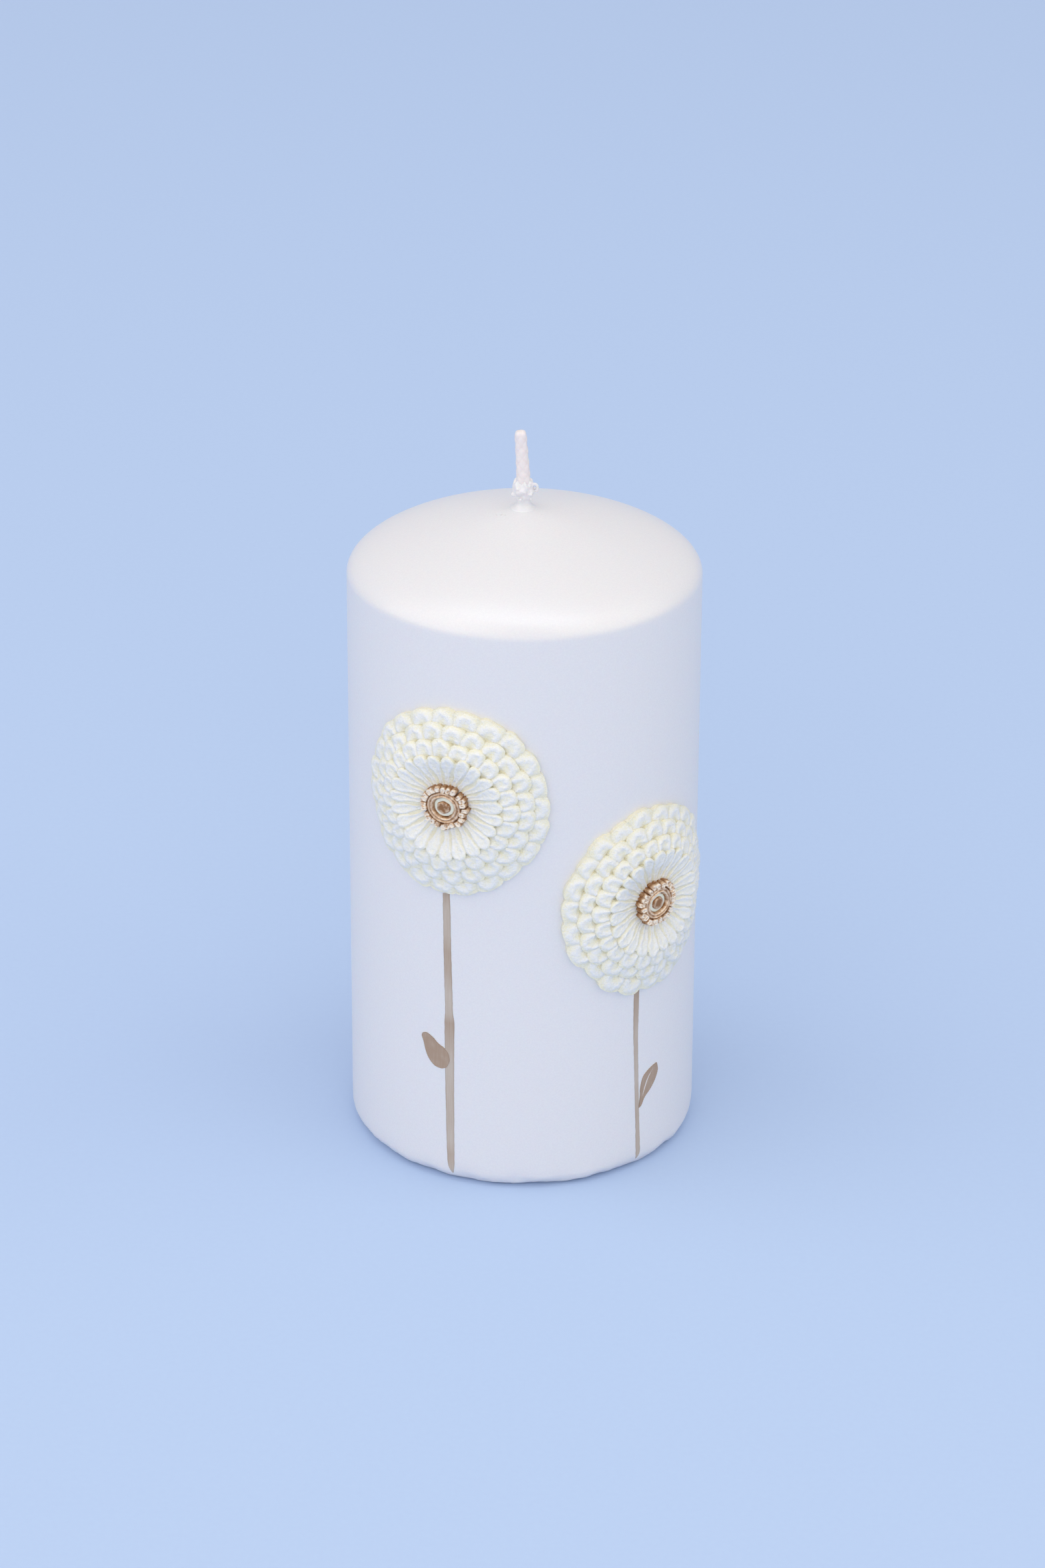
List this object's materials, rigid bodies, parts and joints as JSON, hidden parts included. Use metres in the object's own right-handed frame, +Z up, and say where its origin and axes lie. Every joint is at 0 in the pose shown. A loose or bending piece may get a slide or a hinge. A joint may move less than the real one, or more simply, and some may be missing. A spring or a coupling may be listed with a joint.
{
  "type": "pillar candle",
  "caption": "White pillar candle with a domed shoulder, standing wick, two raised zinnia reliefs with gold centres, and brushed stems and leaves.",
  "frame": {"origin": "centre of the flat underside, on the surface the candle stands on", "axes": "+Z up along the wick, -Y towards the front between the two flowers, +X to the viewer's right"},
  "size_m": [0.068, 0.0715, 0.1456],
  "materials": {
    "core_wax": "plain white candle wax, slightly translucent",
    "pearl_wax": "white candle wax with a soft pearl lacquer",
    "petal_wax": "cream wax brushed with pearl on the raised rims",
    "ivory_wax": "smooth ivory wax",
    "gold_paint": "antique gold paint, satin",
    "stem_paint": "brushed bronze-brown paint, satin",
    "adhesive_wax": "soft adhesive wax",
    "waxed_cotton": "braided cotton soaked in wax",
    "tinplate": "plain pressed tinplate"
  },
  "bodies": {
    "root": {"wax_core": "core_wax", "pearl_wax_overdip": "pearl_wax", "base_plug": "core_wax", "wick_sustainer": "tinplate", "wick": "waxed_cotton", "wick_wax_collar": "pearl_wax", "left_adhesive_pad": "adhesive_wax", "left_petals_outer_row": "petal_wax", "left_petals_third_row": "petal_wax", "left_petals_second_row": "petal_wax", "left_petals_inner_row": "petal_wax", "left_floret_crown": "gold_paint", "left_gold_ring": "gold_paint", "left_centre_disc": "ivory_wax", "left_centre_dot": "gold_paint", "left_stem": "stem_paint", "left_leaf": "stem_paint", "right_adhesive_pad": "adhesive_wax", "right_petals_outer_row": "petal_wax", "right_petals_third_row": "petal_wax", "right_petals_second_row": "petal_wax", "right_petals_inner_row": "petal_wax", "right_floret_crown": "gold_paint", "right_gold_ring": "gold_paint", "right_centre_disc": "ivory_wax", "right_centre_dot": "gold_paint", "right_stem": "stem_paint", "right_leaf": "stem_paint"}
  },
  "joints": []
}
